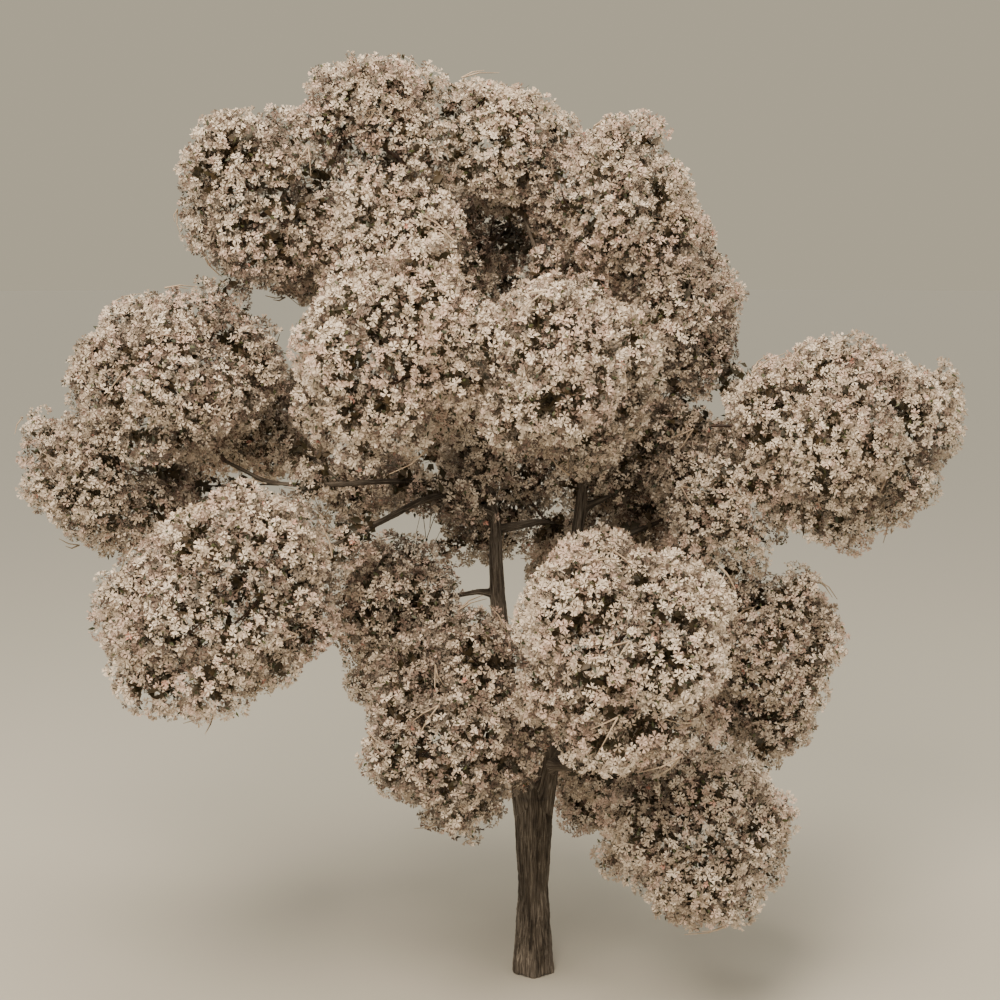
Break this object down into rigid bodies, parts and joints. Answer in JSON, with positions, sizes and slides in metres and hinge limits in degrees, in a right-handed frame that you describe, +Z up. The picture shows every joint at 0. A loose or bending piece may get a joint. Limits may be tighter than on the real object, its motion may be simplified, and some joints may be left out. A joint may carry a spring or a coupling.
{
  "type": "cherry blossom tree",
  "caption": "Flowering cherry tree with a short forked trunk, curved boughs and rounded masses of pale blossom, fixed in level ground.",
  "frame": {"origin": "centre of the flat cut under the trunk, at ground level", "axes": "+Z up the trunk; +X to the right as seen from the front; -Y towards the front; the crown is widest along X"},
  "size_m": [5.1019, 4.1893, 4.9932],
  "materials": {
    "bark": "grey-brown bark with upright fibrous ridges",
    "twig": "thin brown twigs and pale blossom stalks",
    "blossom": "matt off-white petals with coral hearts and a warm pink tinge",
    "leaf": "small dark green young leaves"
  },
  "bodies": {
    "root": {"trunk": "bark", "stem_left": "bark", "stem_right": "bark", "bough_back_far_right": "bark", "bough_back_left": "bark", "bough_back_low_left": "bark", "bough_back_low_right": "bark", "bough_back_middle": "bark", "bough_back_right": "bark", "bough_back_top_left": "bark", "bough_back_top_middle": "bark", "bough_back_top_right": "bark", "bough_far_left": "bark", "bough_front_left": "bark", "bough_front_right": "bark", "bough_inner_back_left": "bark", "bough_inner_left": "bark", "bough_inner_right": "bark", "bough_left": "bark", "bough_left_low": "bark", "bough_low_front": "bark", "bough_low_left": "bark", "bough_low_right": "bark", "bough_right": "bark", "bough_right_low": "bark", "bough_right_middle": "bark", "bough_right_upper": "bark", "bough_top_left": "bark", "bough_top_middle_right": "bark", "mass_back_far_right": "blossom", "mass_back_left": "blossom", "mass_back_low_left": "blossom", "mass_back_low_middle": "blossom", "mass_back_low_right": "blossom", "mass_back_middle": "blossom", "mass_back_right": "blossom", "mass_back_top_left": "blossom", "mass_back_top_middle": "blossom", "mass_back_top_right": "blossom", "mass_far_left": "blossom", "mass_far_right": "blossom", "mass_front_left": "blossom", "mass_front_right": "blossom", "mass_inner_back_left": "blossom", "mass_inner_left": "blossom", "mass_left_low": "blossom", "mass_left_upper": "blossom", "mass_low_front": "blossom", "mass_low_left": "blossom", "mass_low_right": "blossom", "mass_middle_left": "blossom", "mass_middle_right": "blossom", "mass_right_low": "blossom", "mass_right_middle": "blossom", "mass_right_upper": "blossom", "mass_top_left": "blossom", "mass_top_middle_left": "blossom", "mass_top_middle_right": "blossom", "mass_top_right": "blossom", "mass_upper_inner": "blossom"}
  },
  "joints": []
}
